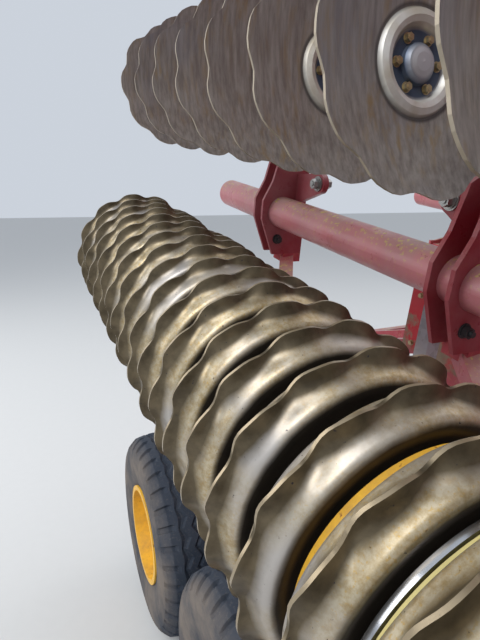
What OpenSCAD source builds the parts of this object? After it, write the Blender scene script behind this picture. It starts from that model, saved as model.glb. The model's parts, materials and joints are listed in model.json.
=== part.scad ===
/* [Stance] */
// Angle by which frame and wings rise towards the rear, in degrees
frame_rake = 9; // [8:0.25:10]
// Height of the frame line above the ground, over the tandem axle
frame_z = 1502; // [1490:1:1530]

/* [Wheels] */
// Outer diameter of a tyre
tyre_d = 874; // [820:2:880]
// Width of a tyre
tyre_w = 400; // [340:5:400]
// Diameter of the rim's flanges
rim_d = 430; // [420:2:440]
// Distance from the centre line to the middle of a tyre
wheel_x = 1170; // [1165:5:1200]
// Distance between the two wheels of one side
tandem = 948; // [930:2:970]

/* [Roller] */
// Number of rings on one roller
ring_count = 25; // [20:1:25]
// Distance from one ring to the next
ring_pitch = 122.2; // [118:0.2:123]
// Greatest diameter of a ring's wavy lip
ring_d = 584; // [570:2:590]
// Width of a ring at its foot
ring_w = 86; // [74:1:92]
// Thickness of a ring's lip
lip_t = 9; // [6:1:12]
// Depth of the waves in the lip
ring_wave = 12; // [8:1:14]
// Number of waves round the lip
ring_waves = 13; // [12:1:16]
// Distance from the centre line to a roller's axle
roller_x = 1214; // [1205:1:1225]
// Height of a roller's axle above the frame line
roller_h = 15; // [10:1:20]
// Diameter of the roller's drum
drum_d = 330; // [310:5:350]
// Radius of the roller's axle
axle_r = 30; // [25:1:35]

/* [Discs] */
// Number of discs in one row
disc_count = 12; // [10:1:12]
// Distance from one disc to the next
disc_pitch = 250; // [245:1:252]
// Greatest diameter of a disc
disc_d = 490; // [450:2:490]
// Thickness of a disc
disc_t = 6; // [5:0.5:8]
// Radius of the ball that a disc is pressed to
disc_ball = 640; // [600:5:700]
// Depth of the waves in a disc's edge
disc_wave = 16; // [12:1:20]
// Number of waves round a disc
disc_waves = 10; // [8:1:12]
// Angle of a disc to its row, in degrees
disc_angle = 12.5; // [11:0.5:18]
// Distance from the centre line to the rear row's hubs
rear_row_x = 1048; // [1046:1:1056]
// Distance from the centre line to the front row's hubs
front_row_x = 1048; // [1046:1:1056]
// Height of the rear row above the frame line
rear_row_h = 756; // [745:1:760]
// Height of the front row above the frame line
front_row_h = 1506; // [1495:1:1510]
// Radius of a disc's hub
hub_r = 42; // [36:1:46]

/* [Wing frame] */
// Diameter of the round tube
tube_d = 133; // [124:1:138]
// Side of a disc beam
beam_side = 100; // [90:2:104]
// Wall of the beams and of the tube
beam_wall = 8; // [5:0.5:10]
// Distance from the centre line to a disc beam
beam_x = 697; // [694:1:698]
// Distance from the centre line to the round tube
tube_x = 675; // [670:1:680]
// Height of the round tube above the frame line
tube_h = 289; // [285:1:295]
// Radius that a disc arm is bent to
arm_bend = 300; // [296:1:304]
// Thickness of a disc arm along its row
arm_t = 30; // [24:1:36]

/* [Main frame] */
// Width over the main frame's two side beams
main_w = 600; // [580:5:620]
// Height of a side beam
side_h = 240; // [220:5:250]
// Thickness of a side beam
side_t = 80; // [70:2:90]
// Length of the drawbar from the main frame to the eye's centre
drawbar_len = 2550; // [2450:10:2700]

/* [Hitch and jack] */
// Bore of the towing eye
eye_bore = 50; // [44:1:52]
// Outer diameter of the towing eye
eye_d = 130; // [120:2:140]
// Thickness of the towing eye
eye_t = 40; // [30:1:45]
// Side of the jack's outer tube
jack_side = 80; // [76:1:84]
// Wall of the jack's outer tube
jack_wall = 7; // [6:0.5:8]

/* [Hidden] */
$fn = 64;
red = "#a8182c";
yellow = "#f2b21c";
worn_steel = "#8a7c5c";
galvanised = "#9aa4a8";
dark = "#2b2b2e";

// Frame coordinates are x to the right, f forward along the raked frame line and h up from it.
// Both wings are built as the right one, and the left one is its mirror image.
gap = 0.3;
wing_rear_f = -980;
roller_len = ring_count * ring_pitch;
roller_front_f = wing_rear_f + roller_len;
disc_first_f = -917;
row_len = (disc_count - 1) * disc_pitch;
tyre_r = tyre_d / 2;
rim_r = rim_d / 2;

// The wing's hinge stands in front of the roller's root end.
hinge_x = 560;
beam_front_f = disc_first_f + row_len + 227;
hinge_f = max(roller_front_f, beam_front_f + 15) + 280;
hinge_pin_r = 35;
hinge_sleeve_r = 58;
sleeve_h = [[140, 350], [1180, 1390]];

// Beams that carry the disc arms, and the cross arms that carry the beams.
rear_beam_h = rear_row_h + arm_bend;
front_beam_h = front_row_h + arm_bend;
beam_inner_x = beam_x - beam_side / 2;
beam_outer_x = beam_x + beam_side / 2;
beam_rear_f = disc_first_f - 150;
cross_f = [-560, 500, beam_front_f - 120];
cross_side = 90;
cross_bottom = 100;
cross_top = front_beam_h + 100;

// Places on the main frame and the drawbar.
main_rear_f = -30;
main_front_f = hinge_f + 150;
side_mid_h = -20;
side_x = (main_w - side_t) / 2;
side_top = side_mid_h + side_h / 2;
side_bottom = side_mid_h - side_h / 2;
eye_f = main_front_f + drawbar_len;
eye_neck = 150;

// The lamp boards reach furthest to the rear and the towing eye furthest to the front.
lamp_rear_y = -1090;
eye_front_y = (eye_f + eye_d / 2) * cos(frame_rake) + (side_mid_h + eye_t / 2) * sin(frame_rake);
shift_y = -(eye_front_y + lamp_rear_y) / 2;

module on_ground() translate([0, shift_y, 0]) children();
module on_frame() translate([0, shift_y, frame_z]) rotate([-frame_rake, 0, 0]) children();
module left_of(side) mirror([side == "left" ? 1 : 0, 0, 0]) children();
module wing(side) on_frame() left_of(side) children();

// Height on the ground's axes of a line of the frame at a given h, over a given y.
function line_z(y, h) = frame_z - y * tan(frame_rake) + h / cos(frame_rake);

module both_sides() for (m = [0, 1]) mirror([m, 0, 0]) children();
module bar_f(w, h, from, to) translate([-w / 2, from, -h / 2]) cube([w, to - from, h]);
module rod_f(r, from, to) translate([0, from, 0]) rotate([-90, 0, 0]) cylinder(r = r, h = to - from);
module pipe_f(r, wall, from, to) difference() {
    rod_f(r, from, to);
    rod_f(r - wall, from - 1, to + 1);
}
module square_pipe_f(side, wall, from, to) difference() {
    bar_f(side, side, from, to);
    bar_f(side - 2 * wall, side - 2 * wall, from - 1, to + 1);
}

// A plate whose outline is drawn over x and h, standing across f.
module across_f(f, t) translate([0, f + t / 2, 0]) rotate([90, 0, 0]) linear_extrude(t) children();
// A plate whose outline is drawn over f (or y) and h (or z), standing across x.
module across_x(x, t) translate([x - t / 2, 0, 0]) rotate([90, 0, 90]) linear_extrude(t) children();

// A round outline with broad crests and narrow dips, with so many points to a wave.
module wavy_outline(d, depth, waves, points) {
    steps = waves * points;
    polygon([for (i = [0:steps - 1])
        let (a = 360 * i / steps, dip = (1 - cos(360 / points * i)) / 2, r = d / 2 - depth * dip * dip)
        [r * cos(a), r * sin(a)]]);
}

// One pressed ring: a thin wavy lip that sweeps down on both sides to a broad shelf.
ring_shelf_r = ring_d / 2 - 40;
ring_bore_r = drum_d / 2 - 8;
// Half of the profile, as distance from the lip's middle and radius
function ring_half() = [
    [ring_w / 2 - 18, ring_bore_r], [ring_w / 2 - 2, ring_shelf_r - 26], [ring_w / 2, ring_shelf_r - 8],
    [ring_w / 2 - 4, ring_shelf_r - 2], [ring_w / 2 - 20, ring_shelf_r + 5], [lip_t / 2 + 9, ring_shelf_r + 14],
    [lip_t / 2 + 2, ring_shelf_r + 24], [lip_t / 2, ring_d / 2 + 1]
];
module ring() {
    half = ring_half();
    last = len(half) - 1;
    intersection() {
        rotate_extrude() polygon(concat(
            [for (p = half) [p[1], p[0]]],
            [for (i = [last:-1:0]) [half[i][1], -half[i][0]]]));
        linear_extrude(ring_w + 2, center = true) wavy_outline(ring_d, ring_wave, ring_waves, 6);
    }
}

roller_plate_t = 14;
roller_plate_gap = 8;
roller_axle_out = roller_plate_gap + roller_plate_t + 6;
module roller() color(worn_steel) translate([roller_x, wing_rear_f, roller_h]) rotate([-90, 0, 0]) {
    difference() {
        cylinder(d = drum_d, h = roller_len);
        translate([0, 0, 12]) cylinder(d = drum_d - 24, h = roller_len - 24);
    }
    for (i = [0:ring_count - 1]) translate([0, 0, (i + 0.5) * ring_pitch]) rotate(7 * i) ring();
    for (z = [-roller_axle_out, roller_len - 6])
        translate([0, 0, z]) cylinder(r = axle_r, h = roller_axle_out + 6);
}

// The roller's frame: a beam beside the roller, an end plate at each end and slanted arms.
roller_beam_x = 800;
roller_beam_h = -60;
roller_beam_side = 90;
slant_run = 360;
slant_side = 60;
module roller_end_plate(f) across_f(f, roller_plate_t) difference() {
    union() {
        translate([roller_x, roller_h]) circle(d = 150);
        polygon([[735, -125], [735, 5], [780, 5], [roller_x - 14, roller_h + 73],
            [roller_x + 14, roller_h - 73], [865, -125]]);
    }
    translate([roller_x, roller_h]) circle(r = axle_r + gap);
}
module slanted_arm(f, turn) translate([0, f, 0]) mirror([0, turn, 0]) {
    foot_x = beam_inner_x - cross_side / 2;
    run_x = roller_beam_x - foot_x;
    run_h = cross_bottom - 40 - roller_beam_h;
    run = sqrt(run_x * run_x + slant_run * slant_run + run_h * run_h);
    translate([foot_x, 0, cross_bottom - 20]) cube([cross_side, cross_side, 40], center = true);
    translate([foot_x, 0, cross_bottom - 30])
        rotate([0, 0, -atan2(run_x, slant_run)])
            rotate([-asin(run_h / run), 0, 0]) bar_f(slant_side, slant_side, 0, run - 20);
}
module roller_frame() color(red) {
    translate([roller_beam_x, 0, roller_beam_h])
        bar_f(roller_beam_side, roller_beam_side,
            wing_rear_f - roller_plate_gap, roller_front_f + roller_plate_gap);
    roller_end_plate(wing_rear_f - roller_plate_gap - roller_plate_t / 2);
    roller_end_plate(roller_front_f + roller_plate_gap + roller_plate_t / 2);
    for (f = cross_f) slanted_arm(f, f < cross_f[2] ? 0 : 1);
}

// The wing's own frame: round tube, two disc beams and the cross arms with their tube brackets.
module round_tube() color(red) translate([tube_x, 0, tube_h]) difference() {
    union() {
        rod_f(tube_d / 2, beam_rear_f - 20, beam_front_f);
        translate([-tube_d / 2 - 8, post_f - 35, -58]) cube([40, 70, 46]);
    }
    rod_f(tube_d / 2 - beam_wall, beam_rear_f - 21, beam_front_f + 1);
}
module disc_beams() color(red) for (h = [rear_beam_h, front_beam_h])
    translate([beam_x, 0, h]) square_pipe_f(beam_side, beam_wall, beam_rear_f, beam_front_f);
// Outline of a tube bracket over x and h, from the cross arm out round the tube
bracket_t = 14;
module tube_bracket(f) across_f(f, bracket_t) difference() {
    polygon([[beam_inner_x - 10, cross_bottom], [tube_x + 30, cross_bottom], [tube_x + 95, tube_h - 30],
        [tube_x + 95, tube_h + 50], [tube_x + 55, tube_h + 130], [tube_x + 25, tube_h + 250],
        [beam_inner_x - 10, tube_h + 290]]);
    translate([tube_x, tube_h]) circle(r = tube_d / 2 + gap);
}
// Lugs with a round end for a bolt: the cross arm, 0 to the front or 1 to the rear, reach and height
link_lugs = [[cross_f[0], 0, 215, 433], [cross_f[1], 1, 160, 477]];
lug_end_r = 40;
lug_w = 24;
module link_lug(f, back, reach, rise) translate([0, f, 0]) mirror([0, back, 0])
    across_x(beam_inner_x - cross_side / 2, lug_w) {
        polygon([[cross_side / 2 - 2, rise - 110], [cross_side / 2 - 2, rise + 20],
            [reach, rise + lug_end_r], [reach + 15, rise - lug_end_r + 4]]);
        translate([reach, rise]) circle(r = lug_end_r);
    }
module cross_arms() color(red) {
    for (lug = link_lugs) link_lug(lug[0], lug[1], lug[2], lug[3]);
    for (f = cross_f) {
        difference() {
            translate([beam_inner_x - cross_side / 2, f, (cross_top + cross_bottom) / 2])
                cube([cross_side, cross_side, cross_top - cross_bottom], center = true);
            translate([tube_x, 0, tube_h]) rod_f(tube_d / 2 + gap, f - cross_side, f + cross_side);
        }
        for (s = [-1, 1]) tube_bracket(f + s * (cross_side / 2 - bracket_t / 2));
    }
}

// Disc arms: a clamp on the beam, a bent flat arm and the hub that the disc is bolted to.
arm_off = 90;
arm_depth = 50;
clamp_out = 46;
module at_disc(row_x, row_h, f, turn) translate([row_x, f, row_h])
    rotate([turn, 0, 0]) rotate([-90, 0, 0]) children();
module disc_arm(row_x, row_h, f, turn) {
    bend_x = row_x - arm_bend;
    start = asin(max(0, beam_outer_x + 2 - bend_x) / arm_bend);
    translate([beam_outer_x, f - arm_off - 40, row_h + arm_bend - 60]) cube([clamp_out, 80, 120]);
    translate([bend_x, f - arm_off + arm_t / 2, row_h]) rotate([90, 0, 0])
        rotate_extrude(angle = 90 - start) translate([arm_bend - arm_depth / 2, 0]) square([arm_depth, arm_t]);
    at_disc(row_x, row_h, f, turn) mirror([0, 0, 1])
        translate([0, 0, disc_seat + gap]) cylinder(r = hub_r, h = arm_off + 24);
}
module disc_arm_row(row_x, row_h, turn) color(red)
    for (j = [0:disc_count - 1]) disc_arm(row_x, row_h, disc_first_f + j * disc_pitch, turn);

// A dished disc with a wavy edge, hollow to the front, and a raised collar round its bolted middle.
disc_seat = 10;
module disc() {
    intersection() {
        translate([0, 0, disc_ball]) difference() {
            sphere(r = disc_ball, $fn = 128);
            sphere(r = disc_ball - disc_t, $fn = 128);
        }
        translate([0, 0, -20]) linear_extrude(140) wavy_outline(disc_d, disc_wave, disc_waves, 8);
    }
    rotate_extrude() polygon([[0, -disc_seat], [86, -disc_seat], [97, 2], [95, 11], [88, 20], [77, 24],
        [67, 20], [59, 7], [37, 7], [35, 15], [28, 22], [16, 26], [0, 27]]);
}
module disc_row(row_x, row_h, turn) color(worn_steel)
    for (j = [0:disc_count - 1])
        at_disc(row_x, row_h, disc_first_f + j * disc_pitch, turn) rotate(5 * j) disc();

// A galvanised square post that hangs from the lug on the round tube.
post_side = 50;
post_f = 338;
post_top = tube_h - 6;
post_len = 500;
module post() color(galvanised)
    translate([tube_x - tube_d / 2 - 8 - post_side / 2, post_f, post_top - post_len / 2]) difference() {
        cube([post_side, post_side, post_len], center = true);
        cube([post_side - 8, post_side - 8, post_len + 2], center = true);
    }

// The wing's hinge arms: a sleeve on each pin, a lever for the ram and a box back to the root cross arm.
lever_len = 250;
lever_h = [230, 250];
module hinge_arms() color(red) difference() {
    union() {
        for (s = sleeve_h) {
            translate([hinge_x, hinge_f, s[0]]) cylinder(r = hinge_sleeve_r, h = s[1] - s[0]);
            translate([hinge_x - 26, cross_f[2] + cross_side / 2, s[0] + 20])
                cube([70, hinge_f - cross_f[2] - cross_side / 2, s[1] - s[0] - 40]);
        }
        translate([hinge_x - lever_len, hinge_f - 40, lever_h[0]]) cube([lever_len, 80, lever_h[1] - lever_h[0]]);
        translate([hinge_x - lever_len, hinge_f, lever_h[0]]) cylinder(r = 40, h = lever_h[1] - lever_h[0]);
    }
    translate([hinge_x, hinge_f, 0]) cylinder(r = hinge_pin_r + gap, h = 2000);
}

// The fold ram lies from a lug on the side beam to the wing's lever.
ram_f = 950;
ram_x = side_x;
ram_h = lever_h[1] + 32;
ram_r = 45;
ram_rod_r = 25;
ram_pin_r = 20;
ram_len = norm([hinge_x - lever_len - ram_x, hinge_f - ram_f]);
ram_angle = atan2(hinge_x - lever_len - ram_x, hinge_f - ram_f);
ram_barrel_len = 880;
module along_ram() translate([ram_x, ram_f, ram_h]) rotate([0, 0, -ram_angle]) children();
module ram_barrel() color(dark) along_ram() difference() {
    union() {
        rod_f(ram_r, 50, ram_barrel_len);
        rod_f(16, 0, 60);
        translate([0, 0, -20]) cylinder(r = 38, h = 40);
    }
    translate([0, 0, -30]) cylinder(r = ram_pin_r + gap, h = 60);
    rod_f(ram_rod_r + gap, 70, ram_barrel_len + 1);
    rod_f(ram_r - 10, 70, ram_barrel_len - 60);
}
module ram_rod() color(galvanised) along_ram() difference() {
    union() {
        rod_f(ram_rod_r, 420, ram_len - 30);
        translate([0, ram_len, -20]) cylinder(r = 38, h = 40);
    }
    translate([0, ram_len, -30]) cylinder(r = 22, h = 60);
}

// The main frame: two side beams, four cross members and the lugs that hold the fold rams.
module main_frame() color(red) {
    both_sides() {
        translate([side_x, 0, side_mid_h]) difference() {
            bar_f(side_t, side_h, main_rear_f, main_front_f);
            bar_f(side_t - 20, side_h - 20, main_rear_f - 1, main_front_f - 20);
        }
        translate([ram_x - 34, ram_f - 60, side_top]) cube([68, 14, ram_h - side_top + 38]);
        translate([ram_x - 34, ram_f - 50, side_top]) cube([68, 86, ram_h - side_top - 26]);
        translate([ram_x - 34, ram_f - 50, ram_h + 26]) cube([68, 80, 12]);
        translate([ram_x, ram_f, side_top]) cylinder(r = ram_pin_r, h = ram_h - side_top + 44);
    }
    for (f = [main_rear_f + 60, 700, 1500, main_front_f - 80])
        translate([0, 0, side_mid_h]) bar_f(main_w - 2 * side_t + 2, 150, f - 50, f + 50);
}

// The mast in which the wings hang: a foot, two posts, a head and lugs with the hinge pins.
mast_x = 170;
mast_side = 110;
mast_foot = 10;
lug_t = 25;
lug_gap = 5;
gusset_t = 16;
module mast_lug(h) {
    translate([mast_x, hinge_f - 60, h]) cube([hinge_x - mast_x, 120, lug_t]);
    translate([hinge_x, hinge_f, h]) cylinder(r = 60, h = lug_t);
}
module hinge_mast() color(red) {
    post_face = mast_x + mast_side / 2;
    both_sides() {
        across_f(hinge_f, gusset_t) polygon([[post_face - 2, sleeve_h[1][0] - lug_gap - lug_t + 2],
            [post_face + 210, sleeve_h[1][0] - lug_gap - lug_t + 2], [post_face - 2, sleeve_h[1][0] - 210]]);
        across_f(hinge_f, gusset_t) polygon([[post_face - 2, sleeve_h[0][1] + lug_gap + lug_t - 2],
            [post_face + 210, sleeve_h[0][1] + lug_gap + lug_t - 2], [post_face - 2, sleeve_h[0][1] + 230]]);
    }
    translate([-main_w / 2, hinge_f - 110, side_top]) cube([main_w, 220, mast_foot]);
    translate([-mast_x, hinge_f - mast_side / 2, sleeve_h[1][1] + lug_gap + lug_t])
        cube([2 * mast_x, mast_side, 90]);
    both_sides() {
        translate([mast_x - mast_side / 2, hinge_f - mast_side / 2, side_top])
            cube([mast_side, mast_side, sleeve_h[1][1] + lug_gap + lug_t + 90 - side_top]);
        for (s = sleeve_h) {
            mast_lug(s[0] - lug_gap - lug_t);
            mast_lug(s[1] + lug_gap);
            translate([hinge_x, hinge_f, s[0] - lug_gap - 2 * lug_gap])
                cylinder(r = hinge_pin_r, h = s[1] - s[0] + 3 * lug_gap + lug_t);
        }
    }
}

// The drawbar: two beams that meet in a nose block, with a cross plate that holds the jack.
bar_w = 90;
bar_h = 150;
nose_len = 260;
jack_y = 3500;
jack_f = (jack_y - side_mid_h * sin(frame_rake)) / cos(frame_rake);
nose_f = eye_f - eye_neck - nose_len;
module drawbar() color(red) translate([0, 0, side_mid_h]) {
    rear_x = side_x - 30;
    front_x = 50;
    run = nose_f + 60 - main_front_f;
    lean = atan2(rear_x - front_x, run);
    both_sides() intersection() {
        translate([rear_x, main_front_f, 0]) rotate([0, 0, lean]) bar_f(bar_w, bar_h, -60, run + 120);
        translate([0, main_front_f, -bar_h]) cube([main_w, run, 2 * bar_h]);
    }
    translate([0, nose_f, 0]) bar_f(190, 180, 0, nose_len);
    difference() {
        union() {
            for (f = [jack_f - 105, jack_f + 50])
                translate([0, f, 0])
                    bar_f(2 * (rear_x - (rear_x - front_x) * (f - main_front_f) / run), 110, 0, 55);
            translate([0, jack_f, 0]) rotate([frame_rake, 0, 0])
                cube([jack_side + 30, jack_side + 30, 190], center = true);
        }
        translate([0, jack_f, 0]) rotate([frame_rake, 0, 0])
            cube([jack_side + gap, jack_side + gap, 400], center = true);
    }
}
module tow_eye() color(dark) translate([0, eye_f, side_mid_h - eye_t / 2]) difference() {
    union() {
        cylinder(d = eye_d, h = eye_t);
        translate([-35, -eye_neck, 0]) cube([70, eye_neck, eye_t]);
    }
    translate([0, 0, -1]) cylinder(d = eye_bore, h = eye_t + 2);
}

// The jack stands upright between the drawbar's beams; its leg slides in the outer tube.
jack_bottom = 380;
jack_top = line_z(jack_y, side_mid_h) + 260;
foot_side = 220;
foot_t = 15;
module jack_tube() color(red) translate([0, jack_y, 0]) {
    difference() {
        translate([-jack_side / 2, -jack_side / 2, jack_bottom]) cube([jack_side, jack_side, jack_top - jack_bottom]);
        translate([-jack_side / 2 + jack_wall, -jack_side / 2 + jack_wall, jack_bottom - 1])
            cube([jack_side - 2 * jack_wall, jack_side - 2 * jack_wall, jack_top - jack_bottom - 20]);
    }
    translate([0, 0, jack_top - 5]) cylinder(r = 22, h = 55);
}
module jack_leg() color(galvanised) translate([0, jack_y, 0]) {
    leg = jack_side - 2 * jack_wall - 1;
    translate([-leg / 2, -leg / 2, foot_t - 1]) cube([leg, leg, jack_bottom + 250 - foot_t]);
    translate([-foot_side / 2, -foot_side / 2, 0]) cube([foot_side, foot_side, foot_t]);
}

// Cover panels on the outside of the side beams, and the lamp boards behind.
panel_len = 620;
module side_panels() color(red) both_sides()
    translate([main_w / 2, main_rear_f, side_mid_h - side_h / 2 - 40]) cube([8, panel_len, side_h + 20]);
lamp_z = 1010;
lamp_out = 18;
lamp_bar_w = 2100;
lamp_board_x = 830;
lamp_board_w = 260;
lamp_board_h = 180;
lamp_r = 50;
module lamp_boards() color(red) {
    translate([-lamp_bar_w / 2, lamp_rear_y + 30, lamp_z]) cube([lamp_bar_w, 50, 60]);
    both_sides() {
        translate([lamp_board_x, lamp_rear_y + lamp_out, lamp_z - 70])
            cube([lamp_board_w, 30 - lamp_out, lamp_board_h]);
        for (x = [lamp_board_x + 65, lamp_board_x + 190])
            translate([x, lamp_rear_y + 30, lamp_z + 20]) rotate([90, 0, 0]) cylinder(r = lamp_r, h = 30);
        lamp_arm();
    }
}
module lamp_arm() {
    y_end = main_rear_f * cos(frame_rake) + side_bottom * sin(frame_rake);
    across_x(side_x, 50) polygon([[lamp_rear_y + 40, lamp_z], [lamp_rear_y + 40, lamp_z + 60],
        [y_end + 40, line_z(y_end + 40, side_bottom - gap)],
        [y_end + 190, line_z(y_end + 190, side_bottom - gap)]]);
}

// The axle: a cross tube, two trailing legs under the side beams, and a rocker on each side.
axle_z = 590;
axle_side = 140;
rocker_x = 905;
rocker_t = 70;
stub_r = 35;
leg_front_y = 620;
leg_rear_y = 180;
module axle_beam() color(red) {
    translate([0, 0, axle_z]) cube([2 * rocker_x - rocker_t, axle_side, axle_side], center = true);
    both_sides() across_x(side_x, 60) polygon([[-axle_side / 2, axle_z - axle_side / 2],
        [axle_side / 2, axle_z - axle_side / 2], [leg_front_y, line_z(leg_front_y, side_bottom - gap)],
        [leg_rear_y, line_z(leg_rear_y, side_bottom - gap)], [-axle_side / 2, axle_z + 200]]);
}
module bogie() color(red) {
    across_x(rocker_x, rocker_t) difference() {
        polygon([[-tandem / 2 - 70, tyre_r - 50], [-tandem / 2 - 70, tyre_r + 45], [-110, axle_z + 90],
            [110, axle_z + 90], [tandem / 2 + 70, tyre_r + 45], [tandem / 2 + 70, tyre_r - 50],
            [tandem / 2 - 60, tyre_r - 70], [90, axle_z - 110], [-90, axle_z - 110],
            [-tandem / 2 + 60, tyre_r - 70]]);
    }
    for (s = [-1, 1]) translate([rocker_x, s * tandem / 2, tyre_r]) rotate([0, 90, 0]) {
        cylinder(r = stub_r, h = stub_len);
        cylinder(r = stub_r + 25, h = rocker_t / 2 + 20);
    }
    translate([rocker_x, 0, axle_z]) rotate([0, 90, 0]) cylinder(r = 60, h = rocker_t / 2 + 15);
}
stub_len = wheel_x - rocker_x + 20;

// Wheels turn about x; their outer face looks away from the machine.
rim_half = 190;
module at_wheel(side, end) on_ground() left_of(side)
    translate([wheel_x, end * tandem / 2, tyre_r]) rotate([0, 90, 0]) children();
module tyre() color(dark) rotate_extrude($fn = 96) polygon([
    [rim_r - 12, -rim_half + 16], [rim_r + 6, -rim_half + 4], [rim_r + 60, -tyre_w / 2 + 4],
    [tyre_r - 95, -tyre_w / 2], [tyre_r - 45, -tyre_w / 2 + 10], [tyre_r - 14, -tyre_w / 2 + 45],
    [tyre_r, -tyre_w / 2 + 95], [tyre_r, tyre_w / 2 - 95], [tyre_r - 14, tyre_w / 2 - 45],
    [tyre_r - 45, tyre_w / 2 - 10], [tyre_r - 95, tyre_w / 2], [rim_r + 60, tyre_w / 2 - 4], [rim_r + 6, rim_half - 4], [rim_r - 12, rim_half - 16]]);
module rim() color(yellow) difference() {
    rotate_extrude($fn = 96) polygon([
        [stub_r + gap, -120], [70, -120], [75, 0], [150, 10], [rim_r - 34, -40], [rim_r - 22, -rim_half],
        [rim_r, -rim_half], [rim_r, -rim_half + 8], [rim_r - 12 - gap, -rim_half + 16],
        [rim_r - 12 - gap, rim_half - 16], [rim_r, rim_half - 8], [rim_r, rim_half], [rim_r - 22, rim_half], [rim_r - 30, 40], [150, 34], [78, 28],
        [62, 60], [0, 62], [0, 40], [stub_r + gap, 40]]);
}

on_frame() main_frame();
on_frame() hinge_mast();
on_frame() drawbar();
on_frame() tow_eye();
on_frame() side_panels();
on_ground() lamp_boards();
on_ground() axle_beam();
on_ground() jack_tube();
on_ground() jack_leg();
for (side = ["right", "left"]) {
    on_ground() left_of(side) bogie();
    for (place = [["rear", -1], ["front", 1]]) {
        at_wheel(side, place[1]) tyre();
        at_wheel(side, place[1]) rim();
    }
    wing(side) round_tube();
    wing(side) disc_beams();
    wing(side) cross_arms();
    wing(side) hinge_arms();
    wing(side) disc_arm_row(rear_row_x, rear_row_h, disc_angle);
    wing(side) disc_arm_row(front_row_x, front_row_h, -disc_angle);
    wing(side) disc_row(rear_row_x, rear_row_h, disc_angle);
    wing(side) disc_row(front_row_x, front_row_h, -disc_angle);
    wing(side) roller_frame();
    wing(side) post();
    wing(side) roller();
    wing(side) ram_barrel();
    wing(side) ram_rod();
}
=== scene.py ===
"""Dresses the towed disc harrow: paint, dirt, worn steel, treads, bolts, lamps and the studio round it."""

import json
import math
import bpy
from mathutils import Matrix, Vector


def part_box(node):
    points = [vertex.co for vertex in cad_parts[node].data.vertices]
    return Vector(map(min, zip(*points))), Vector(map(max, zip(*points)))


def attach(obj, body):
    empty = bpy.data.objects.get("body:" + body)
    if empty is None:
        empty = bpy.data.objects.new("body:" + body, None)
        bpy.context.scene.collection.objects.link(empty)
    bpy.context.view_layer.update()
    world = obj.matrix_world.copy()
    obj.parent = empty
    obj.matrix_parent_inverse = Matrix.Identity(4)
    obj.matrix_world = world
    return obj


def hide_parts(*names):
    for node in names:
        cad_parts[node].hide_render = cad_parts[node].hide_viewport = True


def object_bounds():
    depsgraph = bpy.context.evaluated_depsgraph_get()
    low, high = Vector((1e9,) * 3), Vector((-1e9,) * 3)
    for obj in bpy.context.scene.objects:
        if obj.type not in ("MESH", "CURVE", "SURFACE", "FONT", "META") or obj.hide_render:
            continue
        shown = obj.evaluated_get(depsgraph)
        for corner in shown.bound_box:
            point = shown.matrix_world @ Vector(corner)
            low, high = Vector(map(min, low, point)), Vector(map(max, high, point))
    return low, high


bl_info = {
    "name": "Disc Harrow Dressing",
    "version": (1, 0, 0),
    "blender": (4, 5, 0),
    "location": "View3D > Sidebar > Harrow",
    "description": "Adds finishes and small fittings to a folded disc harrow",
    "category": "Object",
}

import bmesh
import bpy
from bpy.props import FloatProperty, FloatVectorProperty, IntProperty, PointerProperty
from mathutils import Matrix, Vector

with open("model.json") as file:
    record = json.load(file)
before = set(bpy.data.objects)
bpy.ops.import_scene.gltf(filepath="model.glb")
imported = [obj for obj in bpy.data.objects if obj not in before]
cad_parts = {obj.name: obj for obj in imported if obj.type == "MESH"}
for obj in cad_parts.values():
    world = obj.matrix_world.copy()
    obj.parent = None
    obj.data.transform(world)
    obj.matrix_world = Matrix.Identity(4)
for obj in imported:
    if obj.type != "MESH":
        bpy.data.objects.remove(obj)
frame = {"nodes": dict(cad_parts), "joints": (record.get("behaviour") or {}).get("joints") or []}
CAD_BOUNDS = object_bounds()
JOINTS = {j["name"]: j for j in frame["joints"]}
SIDES = (("right", 1), ("left", -1))
SHARP_ANGLE = math.radians(38)

# Everything on the raked frame is placed by x to the right, f forward along the frame and h up from it.
RAKE = math.radians(9)
FORWARD = Vector((0, math.cos(RAKE), -math.sin(RAKE)))
UP = Vector((0, math.sin(RAKE), math.cos(RAKE)))
BOGIE_Y = sum(JOINTS[f"wheel_{end}_right_spin"]["pos_m"][1] for end in ("rear", "front")) / 2
FRAME_LINE = Vector((0, BOGIE_Y, 1.502))

# Wheels and rollers
WHEEL_X = 1.170
ROLLER_X = 1.214
ROLLER_H = 0.015
ROLLER_REAR_F = -0.980
RING_PITCH = 0.1222
RING_COUNT = 25
ROLLER_FRONT_F = ROLLER_REAR_F + RING_PITCH * RING_COUNT

# Discs: each row's name, the h of its hubs and the way its discs are turned
DISC_ROWS = (("rear", 0.756, 1), ("front", 1.506, -1))
DISC_X = 1.048
DISC_ANGLE = math.radians(12.5)
DISC_FIRST_F = -0.917
DISC_PITCH = 0.250
DISC_COUNT = 12

# Cross arms, and the disc beams' outer face with the arms' clamps above the hubs
CROSS_F = (-0.560, 0.500, 1.940)
BEAM_FACE_X = 0.747
ARM_REACH = 0.300


def on_frame(x, f, h):
    """The point at x, f and h of the raked frame, in the row frame."""
    return FRAME_LINE + Vector((x, 0, 0)) + FORWARD * f + UP * h


def frame_matrix(x, f, h, side=1):
    """Axes of the raked frame at a place: local X out to the side, local Y forward and local Z up."""
    out = Vector((side, 0, 0))
    turn = Matrix((out, FORWARD, UP)).transposed()
    return Matrix.Translation(on_frame(side * x, f, h)) @ turn.to_4x4()


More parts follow.
